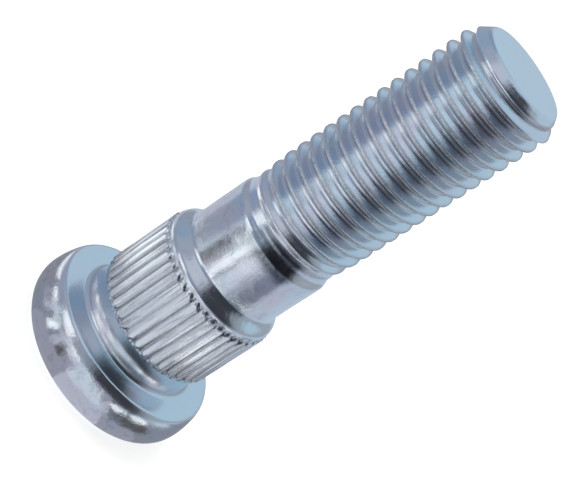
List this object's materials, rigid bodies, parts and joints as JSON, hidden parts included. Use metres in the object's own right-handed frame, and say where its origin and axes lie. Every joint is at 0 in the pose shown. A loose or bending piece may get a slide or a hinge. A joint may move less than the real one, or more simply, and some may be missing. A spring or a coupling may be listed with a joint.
{
  "type": "wheel stud",
  "caption": "Press-in wheel stud with a round forged head, a straight knurl, a smooth shank and a rolled right-hand thread.",
  "frame": {"origin": "centre of the outer face of the head, which the stud stands on", "axes": "+Z along the stud, from the head to the threaded tip"},
  "size_m": [0.0204, 0.0204, 0.0509],
  "materials": {
    "zinc_plating": "gloss"
  },
  "bodies": {
    "root": {"wheel_stud": "zinc_plating"}
  },
  "joints": []
}
